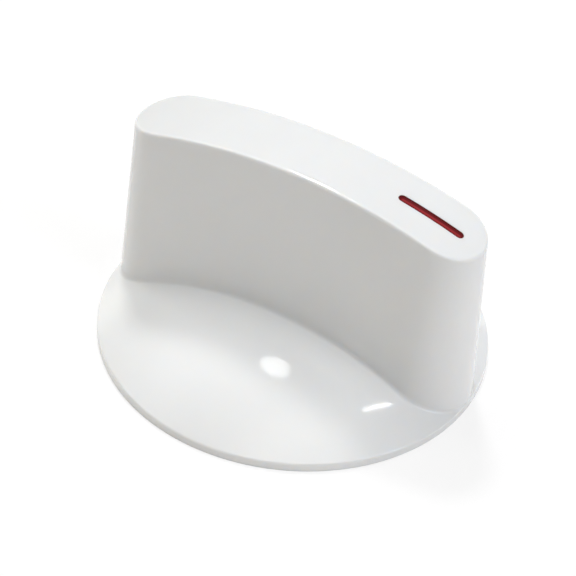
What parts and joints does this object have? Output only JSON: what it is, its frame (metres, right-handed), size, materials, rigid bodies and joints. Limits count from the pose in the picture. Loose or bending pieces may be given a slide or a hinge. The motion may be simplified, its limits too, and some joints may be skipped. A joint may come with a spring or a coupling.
{
  "type": "washing machine knob",
  "caption": "Push-on control knob: a tall straight grip with a crowned top and painted pointer on a domed round disc, hollow below around a split boss for a D-shaped shaft.",
  "frame": {"origin": "on the shaft's axis, in the plane that the rim stands on", "axes": "+Z along the shaft's axis away from the panel, +Y from the axis towards the pointer"},
  "size_m": [0.056, 0.056, 0.0327],
  "materials": {
    "white_plastic": "glossy injection moulded",
    "red_paint": "satin paint in a moulded groove",
    "spring_steel": "plain rolled spring steel"
  },
  "bodies": {
    "root": {"knob_body": "white_plastic", "pointer_paint": "red_paint", "spring_clip": "spring_steel"}
  },
  "joints": []
}
